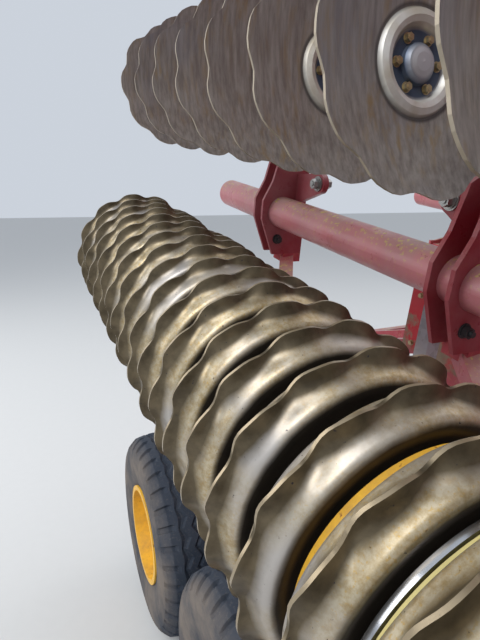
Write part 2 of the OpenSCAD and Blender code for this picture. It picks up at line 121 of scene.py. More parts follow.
# Shader helpers
class Nodes:
    """Builds one material's node tree from short calls."""

    def __init__(self, name, metal=0.0, rough=0.6):
        self.material = bpy.data.materials.new(name)
        self.material.use_nodes = True
        self.tree = self.material.node_tree
        self.shader = self.tree.nodes["Principled BSDF"]
        self.shader.inputs["Metallic"].default_value = metal
        self.shader.inputs["Roughness"].default_value = rough
        coords = self.tree.nodes.new("ShaderNodeTexCoord")
        self.place = coords.outputs["Object"]
        self.own_normal = coords.outputs["Normal"]

    def link(self, source, target):
        self.tree.links.new(source, target)

    def feed(self, socket, value):
        if isinstance(value, bpy.types.NodeSocket):
            self.link(value, socket)
        elif value is not None:
            socket.default_value = value

    def noise(self, scale, detail=4.0, rough=0.6, place=None):
        node = self.tree.nodes.new("ShaderNodeTexNoise")
        self.link(place or self.place, node.inputs["Vector"])
        node.inputs["Scale"].default_value = scale
        node.inputs["Detail"].default_value = detail
        node.inputs["Roughness"].default_value = rough
        return node.outputs["Fac"]

    def cells(self, scale):
        node = self.tree.nodes.new("ShaderNodeTexVoronoi")
        self.link(self.place, node.inputs["Vector"])
        node.inputs["Scale"].default_value = scale
        return node.outputs["Color"]

    def ramp(self, value, low, high):
        """0 below low, 1 above high and a straight run between them."""
        node = self.tree.nodes.new("ShaderNodeMapRange")
        self.link(value, node.inputs["Value"])
        node.inputs["From Min"].default_value = low
        node.inputs["From Max"].default_value = high
        return node.outputs["Result"]

    def math(self, operation, first, second=None):
        node = self.tree.nodes.new("ShaderNodeMath")
        node.operation = operation
        self.feed(node.inputs[0], first)
        self.feed(node.inputs[1], second)
        return node.outputs["Value"]

    def vector(self, operation, first, second=None):
        node = self.tree.nodes.new("ShaderNodeVectorMath")
        node.operation = operation
        self.feed(node.inputs[0], first)
        self.feed(node.inputs[1], second)
        return node.outputs["Value" if operation in ("DOT_PRODUCT", "LENGTH") else "Vector"]

    def mix(self, amount, first, second):
        node = self.tree.nodes.new("ShaderNodeMix")
        node.data_type = "RGBA"
        self.feed(node.inputs["Factor"], amount)
        self.feed(node.inputs[6], first if isinstance(first, bpy.types.NodeSocket) else (*first, 1))
        self.feed(node.inputs[7], second if isinstance(second, bpy.types.NodeSocket) else (*second, 1))
        return node.outputs[2]

    def facing_forward(self):
        """1 where the surface looks along the raked frame, 0 where it looks out of it."""
        along = self.vector("DOT_PRODUCT", self.own_normal, tuple(FORWARD))
        return self.ramp(self.math("ABSOLUTE", along), 0.35, 0.65)

    def streaks(self, scale, flatness):
        """Noise drawn out upwards, as rolled steel shows once it has worn."""
        stretched = self.vector("MULTIPLY", self.place, (1, 1, flatness))
        return self.noise(scale, 5.0, 0.65, stretched)

    def upward(self):
        """How much the surface looks up: 1 on a top, 0 on a side."""
        geometry = self.tree.nodes.new("ShaderNodeNewGeometry")
        height = self.vector("DOT_PRODUCT", geometry.outputs["Normal"], (0, 0, 1))
        return self.ramp(height, 0.15, 0.85)

    def frame_place(self):
        """x without its sign, and f and h of the raked frame."""
        moved = self.vector("SUBTRACT", self.place, tuple(FRAME_LINE))
        split = self.tree.nodes.new("ShaderNodeSeparateXYZ")
        self.link(moved, split.inputs["Vector"])
        side = self.math("ABSOLUTE", split.outputs["X"])
        forward = self.vector("DOT_PRODUCT", moved, tuple(FORWARD))
        height = self.vector("DOT_PRODUCT", moved, tuple(UP))
        return side, forward, height

    def radius(self, *parts):
        """Length of the vector that two or three parts make."""
        node = self.tree.nodes.new("ShaderNodeCombineXYZ")
        for socket, part in zip(node.inputs, parts):
            self.link(part, socket)
        return self.vector("LENGTH", node.outputs["Vector"])

    def colour(self, value):
        self.feed(self.shader.inputs["Base Color"], value)

    def roughness(self, value):
        self.feed(self.shader.inputs["Roughness"], value)

    def bump(self, value, strength, distance=0.002):
        node = self.tree.nodes.new("ShaderNodeBump")
        node.inputs["Strength"].default_value = strength
        node.inputs["Distance"].default_value = distance
        self.link(value, node.inputs["Height"])
        self.link(node.outputs["Normal"], self.shader.inputs["Normal"])


# Colours that dirt and age put on every finish
DUST = (0.43, 0.36, 0.29)
LICHEN = (0.62, 0.55, 0.12)
MUD = (0.20, 0.135, 0.09)
RUST = (0.24, 0.085, 0.03)

# Where one look gives way to the next: distance from a tyre's middle, and radius on rings and discs
TYRE_WALL_EDGE = (0.150, 0.196)
RING_FOOT_EDGE = (0.236, 0.247)
RING_SHELF_EDGE = (0.254, 0.266)
RING_LIP_EDGE = (0.276, 0.279)
DISC_NOSE_EDGE = (0.033, 0.038)
DISC_RECESS_EDGE = (0.056, 0.064)
DISC_COLLAR_EDGE = (0.093, 0.098)
DISC_COLLAR_LINE = 0.097
DISC_RIM_EDGE = (0.225, 0.230)


def faded_red(name, red, dust_amount, lichen_amount):
    """Weathered red paint: chalky patches, dust on what looks up and specks of lichen."""
    n = Nodes(name, rough=0.55)
    chalk = n.ramp(n.noise(5.0), 0.35, 0.7)
    base = n.mix(n.math("MULTIPLY", chalk, 0.55), red, tuple(0.75 * c + 0.18 for c in red))
    top = n.math("MULTIPLY", n.upward(), n.ramp(n.noise(9.0, 6.0), 0.25, 0.6))
    base = n.mix(n.math("MULTIPLY", top, dust_amount), base, DUST)
    specks = n.math("MULTIPLY", n.ramp(n.noise(70.0, 3.0), 0.56, 0.66), n.math("ADD", top, 0.15))
    base = n.mix(n.math("MULTIPLY", specks, lichen_amount), base, LICHEN)
    chips = n.ramp(n.noise(38.0, 5.0, 0.7), 0.68, 0.74)
    n.colour(n.mix(chips, base, RUST))
    n.roughness(n.ramp(n.noise(11.0), 0.0, 1.4))
    n.shader.inputs["Specular IOR Level"].default_value = 0.35
    n.bump(n.noise(60.0, 6.0), 0.15)
    return n.material


def splashed_red(name, red):
    """The panels' brighter red with mud thrown up from below."""
    n = Nodes(name, rough=0.45)
    height = n.frame_place()[2]
    splash = n.math("SUBTRACT", n.noise(7.0, 8.0, 0.72), n.math("MULTIPLY", height, 0.9))
    mud = n.ramp(splash, 0.56, 0.66)
    n.colour(n.mix(mud, red, n.mix(n.noise(30.0), MUD, (0.34, 0.25, 0.18))))
    n.roughness(n.ramp(splash, 0.0, 0.8))
    n.bump(mud, 0.3, 0.003)
    return n.material


def wheel_yellow(name, yellow):
    """Yellow paint with patches of rust dust and small chips."""
    n = Nodes(name, rough=0.5)
    dusty = n.ramp(n.noise(14.0, 6.0, 0.7), 0.42, 0.68)
    base = n.mix(n.math("MULTIPLY", dusty, 0.6), yellow, (0.42, 0.22, 0.06))
    chips = n.ramp(n.noise(55.0, 4.0), 0.66, 0.72)
    n.colour(n.mix(chips, base, RUST))
    n.bump(n.noise(80.0), 0.12)
    return n.material


def dusty_rubber(name, rubber):
    """Tyre rubber, greyed by dust in broad soft patches and brown on its walls."""
    n = Nodes(name, rough=0.85)
    patches = n.ramp(n.noise(6.0, 6.0, 0.65), 0.3, 0.75)
    fine = n.noise(120.0, 3.0)
    base = n.mix(n.math("MULTIPLY", patches, 0.6), rubber, (0.066, 0.074, 0.092))
    base = n.mix(n.math("MULTIPLY", n.ramp(fine, 0.55, 0.8), 0.3), base, (0.20, 0.185, 0.16))
    off_middle = n.math("ABSOLUTE", n.math("SUBTRACT", n.frame_place()[0], WHEEL_X))
    soiled = n.ramp(n.noise(4.5, 6.0, 0.65), 0.32, 0.60)
    walls = n.math("MULTIPLY", n.ramp(off_middle, *TYRE_WALL_EDGE), soiled)
    n.colour(n.mix(n.math("MULTIPLY", walls, 0.75), base, (0.215, 0.175, 0.140)))
    n.shader.inputs["Specular IOR Level"].default_value = 0.25
    n.bump(fine, 0.2, 0.001)
    return n.material


def worn_rings(name):
    """Roller rings: a dark foot of painted shade down in the gaps, a golden worn shelf with a painted sky
    reflection, brown flank below the lip and a paler lip edge of painted highlight.
    """
    n = Nodes(name, metal=0.7, rough=0.4)
    side, _, height = n.frame_place()
    across = n.math("SUBTRACT", side, ROLLER_X)
    lift = n.math("SUBTRACT", height, ROLLER_H)
    radius = n.radius(across, lift)
    wobble = n.math("MULTIPLY", n.math("SUBTRACT", n.noise(14.0, 5.0), 0.5), 0.012)
    soft = n.math("ADD", radius, wobble)
    # Painted shade: the near-black foot, with a little brown noise, stands for the shade deep in the gaps
    # between the rings.
    painted_gap_shade = n.mix(n.noise(26.0, 6.0), (0.030, 0.026, 0.024), (0.085, 0.065, 0.045))
    # The shelf is worn bright steel with yellow specks of dirt and a painted reflection of the sky; the large
    # pale patches are painted highlights.
    shelf = n.mix(n.ramp(n.noise(75.0, 6.0, 0.7), 0.40, 0.66), (0.52, 0.45, 0.32), (0.37, 0.27, 0.13))
    specks = n.ramp(n.noise(240.0, 2.0, 0.5), 0.60, 0.66)
    shelf = n.mix(n.math("MULTIPLY", specks, 0.6), shelf, (0.50, 0.32, 0.08))
    shelf = n.mix(n.ramp(n.noise(3.4, 3.0), 0.46, 0.62), shelf, (0.46, 0.43, 0.40))
    flank = n.mix(n.ramp(n.noise(18.0, 6.0), 0.35, 0.65), (0.080, 0.062, 0.038), (0.165, 0.130, 0.080))
    base = n.mix(n.ramp(soft, *RING_FOOT_EDGE), painted_gap_shade, shelf)
    base = n.mix(n.ramp(soft, *RING_SHELF_EDGE), base, flank)
    # Painted highlight: the lip's edge faces are painted paler for the light caught along the thin edge.
    lip = n.math("MULTIPLY", n.ramp(radius, *RING_LIP_EDGE), n.math("SUBTRACT", 1.0, n.facing_forward()))
    base = n.mix(n.math("MULTIPLY", lip, 0.8), base, (0.40, 0.32, 0.21))
    pits = n.ramp(n.noise(120.0, 3.0, 0.5), 0.70, 0.76)
    n.colour(n.mix(pits, base, (0.03, 0.03, 0.045)))
    n.roughness(n.ramp(soft, 0.430, 0.020))
    n.bump(n.noise(110.0, 5.0), 0.18, 0.001)
    return n.material


def worn_discs(name):
    """Disc steel: grey-brown with an upright grain, a brown edge with a painted highlight, a collar of
    painted highlight and painted dark blue shade in the hub's recess.
    """
    n = Nodes(name, metal=0.7, rough=0.42)
    side, forward, height = n.frame_place()
    across = n.math("SUBTRACT", side, DISC_X)
    step = n.math("SUBTRACT", forward, DISC_FIRST_F - DISC_PITCH / 2)
    along = n.math("SUBTRACT", n.math("FLOORED_MODULO", step, DISC_PITCH), DISC_PITCH / 2)
    low = DISC_ROWS[0][1]
    high = DISC_ROWS[1][1]
    middle = (low + high) / 2
    half_gap = (high - low) / 2
    lift = n.math("SUBTRACT", n.math("ABSOLUTE", n.math("SUBTRACT", height, middle)), half_gap)
    radius = n.radius(across, along, lift)
    grain = n.streaks(85.0, 0.12)
    base = n.mix(n.ramp(grain, 0.36, 0.64), (0.225, 0.205, 0.185), (0.370, 0.345, 0.315))
    rusty = n.ramp(n.streaks(50.0, 0.2), 0.50, 0.68)
    rusty = n.math("MULTIPLY", rusty, n.ramp(n.noise(4.0, 4.0), 0.38, 0.62))
    base = n.mix(n.math("MULTIPLY", rusty, 0.8), base, (0.33, 0.235, 0.110))
    blue = n.ramp(n.noise(2.6, 3.0, 0.5), 0.50, 0.66)
    base = n.mix(n.math("MULTIPLY", blue, 0.6), base, (0.25, 0.265, 0.31))
    # Painted highlight: the raised collar round the hub is painted bright, with brown patches, for the light
    # on its dome.
    collar = n.math("SUBTRACT", 1.0, n.ramp(radius, *DISC_COLLAR_EDGE))
    collar_highlight = n.mix(n.ramp(n.noise(9.0), 0.35, 0.70), (0.74, 0.73, 0.70), (0.46, 0.39, 0.27))
    base = n.mix(n.math("MULTIPLY", collar, 0.9), base, collar_highlight)
    off_line = n.math("ABSOLUTE", n.math("SUBTRACT", radius, DISC_COLLAR_LINE))
    ring_line = n.math("SUBTRACT", 1.0, n.ramp(off_line, 0.002, 0.007))
    base = n.mix(n.math("MULTIPLY", ring_line, 0.7), base, (0.05, 0.045, 0.05))
    # Painted shade: the recess round the hub's nose is painted dark blue.
    recess_shade = n.math("SUBTRACT", 1.0, n.ramp(radius, *DISC_RECESS_EDGE))
    base = n.mix(n.math("MULTIPLY", recess_shade, 0.92), base, (0.030, 0.060, 0.120))
    nose = n.math("SUBTRACT", 1.0, n.ramp(radius, *DISC_NOSE_EDGE))
    base = n.mix(nose, base, (0.50, 0.50, 0.52))
    # Painted highlight along the disc rims' edge faces.
    rim = n.math("MULTIPLY", n.ramp(radius, *DISC_RIM_EDGE), n.math("SUBTRACT", 1.0, n.facing_forward()))
    n.colour(n.mix(rim, base, (0.36, 0.31, 0.24)))
    n.roughness(n.ramp(grain, -1.1, 1.9))
    n.bump(grain, 0.10, 0.001)
    return n.material


def plain(name, colour, metal=0.0, rough=0.5, spread=0.25, scale=18.0):
    """An even finish that a noise lightens and darkens a little."""
    n = Nodes(name, metal=metal, rough=rough)
    darker = tuple(c * (1 - spread) for c in colour)
    lighter = tuple(min(1.0, c * (1 + spread)) for c in colour)
    n.colour(n.mix(n.noise(scale, 5.0), darker, lighter))
    return n.material


def spangled_zinc(name, colour):
    """Hot-dip galvanising with its crystal patches."""
    n = Nodes(name, metal=0.6, rough=0.45)
    grain = n.tree.nodes.new("ShaderNodeSeparateColor")
    n.link(n.cells(60.0), grain.inputs["Color"])
    darker = tuple(c * 0.82 for c in colour)
    lighter = tuple(min(1, c * 1.15) for c in colour)
    base = n.mix(grain.outputs["Red"], darker, lighter)
    n.colour(n.mix(n.math("MULTIPLY", n.ramp(n.noise(6.0), 0.5, 0.7), 0.4), base, DUST))
    return n.material


# Mesh helpers
def piece(name, mesh_builder, material, body, smooth=False):
    """Makes one object from a function that fills a bmesh, and lets it ride on a body."""
    bm = bmesh.new()
    mesh_builder(bm)
    bmesh.ops.recalc_face_normals(bm, faces=bm.faces)
    mesh = bpy.data.meshes.new(name)
    bm.to_mesh(mesh)
    bm.free()
    if smooth:
        mesh.shade_smooth()
        mesh.set_sharp_from_angle(angle=SHARP_ANGLE)
    made = bpy.data.objects.new(name, mesh)
    bpy.context.scene.collection.objects.link(made)
    mesh.materials.append(material)
    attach(made, body)
    return made


def add_cylinder(bm, matrix, radius, height, segments=24, top_radius=None):
    """A closed cylinder or cone that stands on the matrix's origin along its local Z."""
    top = radius if top_radius is None else top_radius
    bmesh.ops.create_cone(bm, cap_ends=True, segments=segments, radius1=radius, radius2=top, depth=height,
                          matrix=matrix @ Matrix.Translation((0, 0, height / 2)))


# A bolt's parts as shares of its size across the flats, and how deep it is sunk into the surface
WASHER_RADIUS = 0.72
WASHER_THICKNESS = 0.14
HEAD_RADIUS = 0.575
HEAD_HEIGHT = 0.72
SHANK_RADIUS = 0.30
BOLT_SINK = 0.002


def add_bolt(bm, matrix, across, shank):
    """A washer and a hexagon head on a surface, along the matrix's local Z, with the end of the shank."""
    sunk = matrix @ Matrix.Translation((0, 0, -BOLT_SINK))
    add_cylinder(bm, sunk, across * WASHER_RADIUS, BOLT_SINK + across * WASHER_THICKNESS, 16)
    add_cylinder(bm, sunk, across * HEAD_RADIUS, BOLT_SINK + across * HEAD_HEIGHT, 6)
    add_cylinder(bm, sunk, across * SHANK_RADIUS, shank, 10)


def facing(matrix, direction):
    """The matrix turned so that its local Z looks along one of its own axes."""
    axis = Vector(direction)
    return matrix @ axis.to_track_quat("Z", "Y").to_matrix().to_4x4()


# The finish of every node whose name begins so; the first that fits is taken, and the rest are frame red
NODE_FINISHES = (("round_tube", "tube"), ("side_panels", "panel"), ("cross_arms", "bracket"),
                 ("rim", "yellow"), ("tyre", "rubber"), ("roller_frame", "frame"), ("roller", "rings"),
                 ("rear_disc_arms", "bracket"), ("front_disc_arms", "bracket"), ("rear_discs", "discs"),
                 ("front_discs", "discs"), ("post", "zinc"), ("jack_leg", "zinc"), ("tow_eye", "rust"),
                 ("ram_barrel", "black"), ("ram_rod", "chrome"))
MATERIALS = {}


def finish_of(name):
    """A material by the name it was made under."""
    return MATERIALS[name]


class HarrowColours(bpy.types.PropertyGroup):
    """Paints and bare finishes of the harrow."""

    red: FloatVectorProperty(name="Red", description="Faded frame paint", subtype="COLOR",
                             default=(0.44, 0.045, 0.065))
    panel: FloatVectorProperty(name="Panel", description="Side panels", subtype="COLOR",
                               default=(0.50, 0.022, 0.035))
    yellow: FloatVectorProperty(name="Yellow", description="Wheel paint", subtype="COLOR",
                                default=(0.83, 0.46, 0.035))
    rubber: FloatVectorProperty(name="Rubber", description="Tyre rubber", subtype="COLOR",
                                default=(0.024, 0.033, 0.050))
    zinc: FloatVectorProperty(name="Zinc", description="Galvanising", subtype="COLOR",
                              default=(0.42, 0.46, 0.50))
    bolt: FloatVectorProperty(name="Bolt", description="Yellow zinc", subtype="COLOR",
                              default=(0.42, 0.34, 0.20))


class TreadSizes(bpy.types.PropertyGroup):
    """Sizes of the tyre tread."""

    depth: FloatProperty(name="Groove depth", description="How deep the grooves are", unit="LENGTH",
                         default=0.011)
    grooves: IntProperty(name="Grooves", description="Zigzag grooves round the tyre", default=5, min=2,
                         max=6)
    zigzags: IntProperty(name="Zigzags", description="Zigzags in one turn", default=36, min=20, max=60)
    swing: FloatProperty(name="Swing", description="Side swing of a groove", unit="LENGTH", default=0.012)


class HARROW_OT_finishes(bpy.types.Operator):
    """Make every finish and give it to the frame's nodes"""

    bl_idname = "harrow.finishes"
    bl_label = "Finishes"

    def execute(self, context):
        colours = context.scene.harrow_colours
        MATERIALS["frame"] = faded_red("frame_red", tuple(colours.red), 0.55, 0.75)
        MATERIALS["tube"] = faded_red("tube_red", tuple(0.95 * c + 0.12 for c in colours.red), 0.5, 0.9)
        # Painted shade: the brackets get a darker copy of the frame red for the shade they stand in.
        MATERIALS["bracket"] = faded_red("bracket_red_painted_shade", tuple(0.75 * c for c in colours.red), 0.25, 0.15)
        MATERIALS["panel"] = splashed_red("panel_red", tuple(colours.panel))
        MATERIALS["yellow"] = wheel_yellow("rim_yellow", tuple(colours.yellow))
        MATERIALS["rubber"] = dusty_rubber("tyre_rubber", tuple(colours.rubber))
        MATERIALS["rings"] = worn_rings("ring_steel")
        MATERIALS["discs"] = worn_discs("disc_steel")
        MATERIALS["zinc"] = spangled_zinc("galvanised_steel", tuple(colours.zinc))
        MATERIALS["bolt"] = plain("bolt_zinc", tuple(colours.bolt), 0.8, 0.38, 0.3, 40.0)
        MATERIALS["black"] = plain("black_paint", (0.035, 0.035, 0.038), 0.0, 0.5)
        MATERIALS["chrome"] = plain("rod_chrome", (0.62, 0.63, 0.65), 1.0, 0.16, 0.05)
        MATERIALS["lens"] = plain("lamp_lens_red", (0.42, 0.012, 0.010), 0.0, 0.18, 0.1)
        MATERIALS["amber"] = plain("lamp_lens_amber", (0.75, 0.22, 0.012), 0.0, 0.18, 0.1)
        MATERIALS["nickel"] = plain("bolt_plain", (0.34, 0.34, 0.33), 0.8, 0.35, 0.3, 40.0)
        MATERIALS["pale"] = plain("pale_yellow", (0.66, 0.56, 0.22), 0.0, 0.5, 0.2)
        MATERIALS["rust"] = plain("bare_rusty_steel", (0.14, 0.085, 0.055), 0.4, 0.65, 0.4)
        for name, node in frame["nodes"].items():
            chosen = next((finish for start, finish in NODE_FINISHES if name.startswith(start)), "frame")
            node.data.materials.clear()
            node.data.materials.append(finish_of(chosen))
        return {"FINISHED"}


# Half a tyre's section, from the tread's middle to the bead: share of the way, distance across and radius
TYRE_RADIUS = 0.437
BEAD_ACROSS = 0.176
BEAD_RADIUS = 0.203
TYRE_HALF = ((0.0, 0.0, TYRE_RADIUS), (0.44, 0.105, TYRE_RADIUS), (0.60, 0.158, 0.425),
             (0.68, 0.191, 0.392), (0.76, 0.199, 0.342), (0.88, 0.195, 0.275), (0.95, 0.186, 0.228),
             (1.0, BEAD_ACROSS, BEAD_RADIUS))

# Rows of points round a tyre and columns over it, which stand closer towards the beads
TYRE_TURNS = 576
TYRE_COLUMNS = 52
COLUMN_SPREAD = 0.85

# Grooves sway fully in the middle of the tread and not at all at its edge
GROOVE_PITCH = 0.050
GROOVE_HALF_WIDTH = 0.0080
SWAY_EDGE = 0.125
SWAY_FADE = 0.03

# Slots over the shoulders: where they run, their share of a zigzag and their depth in grooves
SLOT_RANGE = (0.134, 0.186)
SLOT_LOWEST_RADIUS = 0.385
SLOT_SHARE = 0.30
SLOT_DEPTH = 1.2


def tyre_profile(share):
    """Distance across and radius at a share from -1 to 1 of the way over the tread from bead to bead."""
    size = abs(share)
    for (s0, w0, r0), (s1, w1, r1) in zip(TYRE_HALF, TYRE_HALF[1:]):
        if size <= s1:
            part = (size - s0) / (s1 - s0)
            return math.copysign(w0 + part * (w1 - w0), share), r0 + part * (r1 - r0)
    return math.copysign(BEAD_ACROSS, share), BEAD_RADIUS


def zigzag(turn):
    """A wave of straight runs between -1 and 1, once for each whole turn."""
    return 4 * abs(turn - math.floor(turn + 0.5)) - 1


def tread_cut(across, radius, turn, sizes):
    """How deep a groove or a slot lies at a place on the tyre."""
    if SLOT_RANGE[0] < abs(across) < SLOT_RANGE[1] and radius > SLOT_LOWEST_RADIUS:
        stagger = 0.5 if across > 0 else 0.0
        if (turn + stagger) % 1.0 < SLOT_SHARE:
            return sizes.depth * SLOT_DEPTH
    for k in range(sizes.grooves):
        line = (k - (sizes.grooves - 1) / 2) * GROOVE_PITCH
        if abs(across - line) < GROOVE_HALF_WIDTH:
            return sizes.depth
    return 0.0


def tyre_mesh(bm, centre, sizes):
    """A tyre with zigzag grooves round its tread and slots over its shoulders."""
    rows = []
    for i in range(TYRE_TURNS):
        angle = 2 * math.pi * i / TYRE_TURNS
        turn = i / TYRE_TURNS * sizes.zigzags
        row = []
        for j in range(TYRE_COLUMNS + 1):
            share = 2 * j / TYRE_COLUMNS - 1
            share = math.copysign(abs(share) ** COLUMN_SPREAD, share)
            across, radius = tyre_profile(share)
            radius -= tread_cut(across, radius, turn, sizes)
            sway = min(1.0, max(0.0, (SWAY_EDGE - abs(across)) / SWAY_FADE))
            across += sizes.swing * zigzag(turn) * sway
            place = Vector((across, radius * math.cos(angle), radius * math.sin(angle)))
            row.append(bm.verts.new(centre + place))
        rows.append(row)
    for i, row in enumerate(rows):
        after = rows[(i + 1) % TYRE_TURNS]
        for j in range(TYRE_COLUMNS):
            bm.faces.new((row[j], row[j + 1], after[j + 1], after[j]))
        bm.faces.new((row[-1], row[0], after[0], after[-1]))


class HARROW_OT_tyres(bpy.types.Operator):
    """Make the treaded tyres that stand for the plain ones"""

    bl_idname = "harrow.tyres"
    bl_label = "Tyres"

    def execute(self, context):
        sizes = context.scene.harrow_tread
        for side, _ in SIDES:
            for end in ("rear", "front"):
                centre = Vector(JOINTS[f"wheel_{end}_{side}_spin"]["pos_m"])
                body = f"wheel_{end}_{side}"
                tyre = piece(f"tread_tyre_{end}_{side}", lambda bm: tyre_mesh(bm, centre, sizes),
                             finish_of("rubber"), body)
                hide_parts(f"tyre_{end}_{side}")
        return {"FINISHED"}


# Half of a ring's outline, from the lip to the drum: distance along, radius and share of the wave
RING_HALF = ((0.0030, 0.2915, 1.0), (0.0045, 0.2870, 1.0), (0.0065, 0.2790, 0.85), (0.0105, 0.2700, 0.6),
             (0.0165, 0.2625, 0.32), (0.0240, 0.2570, 0.12), (0.0320, 0.2535, 0.0), (0.0390, 0.2490, 0.0),
             (0.0425, 0.2420, 0.0), (0.0415, 0.2250, 0.0), (0.0270, 0.1600, 0.0))
RING_WAVES = 13
RING_STEPS = RING_WAVES * 12
RING_TURN = math.radians(7)
WAVE_DEPTH = 0.0165
WAVE_LEAN = 0.0055
CREST_BREADTH = 0.45
LEAN_SHIFT = math.radians(50)
DRUM_RADIUS = 0.165
AXLE_RADIUS = 0.030
AXLE_OUT = 0.028

# Bands between two rings: name, f, width, radius and finish
BANDS = (("yellow_band", 0.963, 0.022, 0.214, "yellow"), ("steel_band", 1.086, 0.010, 0.216, "chrome"),
         ("pale_band", 1.099, 0.012, 0.213, "pale"))


def add_ring(bm, side, f, start):
    """One pressed ring of a roller: a wavy lip that sweeps down to a broad foot on both sides."""
    outline = [(-u, r, w) for u, r, w in reversed(RING_HALF)] + list(RING_HALF)
    rows = []
    for i in range(RING_STEPS):
        angle = 2 * math.pi * i / RING_STEPS
        swing = math.cos(RING_WAVES * angle)
        wave = swing + CREST_BREADTH * (1 - swing * swing)
        out = math.cos(angle + start) * side
        lift = -math.sin(angle + start)
        row = []
        for u, r, w in outline:
            radius = r - w * WAVE_DEPTH / 2 * (1 - wave)
            along = f + u + w * WAVE_LEAN * math.cos(RING_WAVES * angle + LEAN_SHIFT)
            place = on_frame(side * ROLLER_X + radius * out, along, ROLLER_H + radius * lift)
            row.append(bm.verts.new(place))
        rows.append(row)
    for i, row in enumerate(rows):
        after = rows[(i + 1) % RING_STEPS]
        for j in range(len(outline) - 1):
            bm.faces.new((row[j], row[j + 1], after[j + 1], after[j]))
        bm.faces.new((row[-1], row[0], after[0], after[-1]))


class HARROW_OT_rollers(bpy.types.Operator):
    """Make the rollers' smooth wavy rings, which stand for the plainer ones, and the bands between them"""

    bl_idname = "harrow.rollers"
    bl_label = "Rollers"

    def execute(self, context):
        for side, sign in SIDES:

            def rings(bm, sign=sign):
                for i in range(RING_COUNT):
                    add_ring(bm, sign, ROLLER_REAR_F + (i + 0.5) * RING_PITCH, i * RING_TURN)
                rear = facing(frame_matrix(ROLLER_X, ROLLER_REAR_F, ROLLER_H, sign), (0, 1, 0))
                add_cylinder(bm, rear, DRUM_RADIUS, ROLLER_FRONT_F - ROLLER_REAR_F, 64)
                back = rear @ Matrix.Translation((0, 0, -AXLE_OUT))
                add_cylinder(bm, back, AXLE_RADIUS, ROLLER_FRONT_F - ROLLER_REAR_F + 2 * AXLE_OUT, 32)

            body = f"roller_{side}"
            roller = piece(f"ring_roller_{side}", rings, finish_of("rings"), body, True)
            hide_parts(f"roller_{side}")
            for name, f, width, radius, material in BANDS:

                def band(bm, sign=sign, f=f, width=width, radius=radius):
                    spot = facing(frame_matrix(ROLLER_X, f, ROLLER_H, sign), (0, 1, 0))
                    add_cylinder(bm, spot, radius, width, 96)

                piece(f"{name}_{side}", band, finish_of(material), body, True)
        return {"FINISHED"}


# Wheel nuts and hub caps, outwards from a wheel's middle plane
NUT_COUNT = 8
NUT_CIRCLE = 0.115
NUT_FACE = 0.031
CAP_FACE = 0.060
CAP_HEIGHT = 0.026
CAP_FOOT_RADIUS = 0.052
CAP_TOP_RADIUS = 0.044


class HARROW_OT_wheel_bolts(bpy.types.Operator):
    """Bolt the wheels and put a cap on each hub"""

    bl_idname = "harrow.wheel_bolts"
    bl_label = "Wheel Bolts"

    def execute(self, context):
        for side, sign in SIDES:
            for end in ("rear", "front"):
                centre = Vector(JOINTS[f"wheel_{end}_{side}_spin"]["pos_m"])
                out = Matrix.Translation(centre) @ Matrix.Rotation(sign * math.pi / 2, 4, "Y")

                body = f"wheel_{end}_{side}"

                def nuts(bm, out=out):
                    for k in range(NUT_COUNT):
                        turned = Matrix.Rotation(k * 2 * math.pi / NUT_COUNT, 4, "Z")
                        spot = turned @ Matrix.Translation((NUT_CIRCLE, 0, NUT_FACE))
                        add_bolt(bm, out @ spot, across=0.027, shank=0.034)

                def cap(bm, out=out):
                    foot = out @ Matrix.Translation((0, 0, CAP_FACE))
                    add_cylinder(bm, foot, CAP_FOOT_RADIUS, CAP_HEIGHT, 32, CAP_TOP_RADIUS)

                piece(f"wheel_nuts_{end}_{side}", nuts, finish_of("bolt"), body)
                piece(f"hub_cap_{end}_{side}", cap, finish_of("rust"), body, True)
        return {"FINISHED"}


# Six bolts round each disc's hub, and four on the clamp that holds its arm to the beam
HUB_BOLT_COUNT = 6
HUB_BOLT_CIRCLE = 0.0470
HUB_FACE = 0.007
CLAMP_F = -0.090
CLAMP_FACE_X = BEAM_FACE_X + 0.046
CLAMP_BOLT_F = (-0.026, 0.026)
CLAMP_BOLT_H = (0.020, -0.050)


def disc_matrix(side, h, f, turn):
    """Axes of one disc: local Z along its axis to its round side."""
    angle = Matrix.Rotation(turn * DISC_ANGLE, 4, "X")
    mirror = Matrix.Diagonal((side, 1, 1, 1))
    place = Matrix.Translation((DISC_X, f, h))
    return frame_matrix(0, 0, 0) @ mirror @ place @ angle @ Matrix.Rotation(-math.pi / 2, 4, "X")


class HARROW_OT_disc_bolts(bpy.types.Operator):
    """Bolt every disc to its hub and every arm's clamp to its beam"""

    bl_idname = "harrow.disc_bolts"
    bl_label = "Disc Bolts"

    def execute(self, context):
        for side, sign in SIDES:
            for row, h, turn in DISC_ROWS:

                def hubs(bm, sign=sign, h=h, turn=turn):
                    for j in range(DISC_COUNT):
                        disc = disc_matrix(sign, h, DISC_FIRST_F + j * DISC_PITCH, turn)
                        for k in range(HUB_BOLT_COUNT):
                            turned = Matrix.Rotation(k * 2 * math.pi / HUB_BOLT_COUNT, 4, "Z")
                            spot = turned @ Matrix.Translation((HUB_BOLT_CIRCLE, 0, HUB_FACE))
                            add_bolt(bm, disc @ spot, across=0.0135, shank=0.013)

                def clamps(bm, sign=sign, h=h):
                    for j in range(DISC_COUNT):
                        f = DISC_FIRST_F + j * DISC_PITCH + CLAMP_F
                        for df in CLAMP_BOLT_F:
                            for dh in CLAMP_BOLT_H:
                                spot = frame_matrix(CLAMP_FACE_X, f + df, h + ARM_REACH + dh, sign)
                                add_bolt(bm, facing(spot, (1, 0, 0)), across=0.019, shank=0.020)

                piece(f"disc_bolts_{row}_{side}", hubs, finish_of("bolt"), f"wing_{side}")
                piece(f"clamp_bolts_{row}_{side}", clamps, finish_of("bolt"), f"wing_{side}")
        return {"FINISHED"}


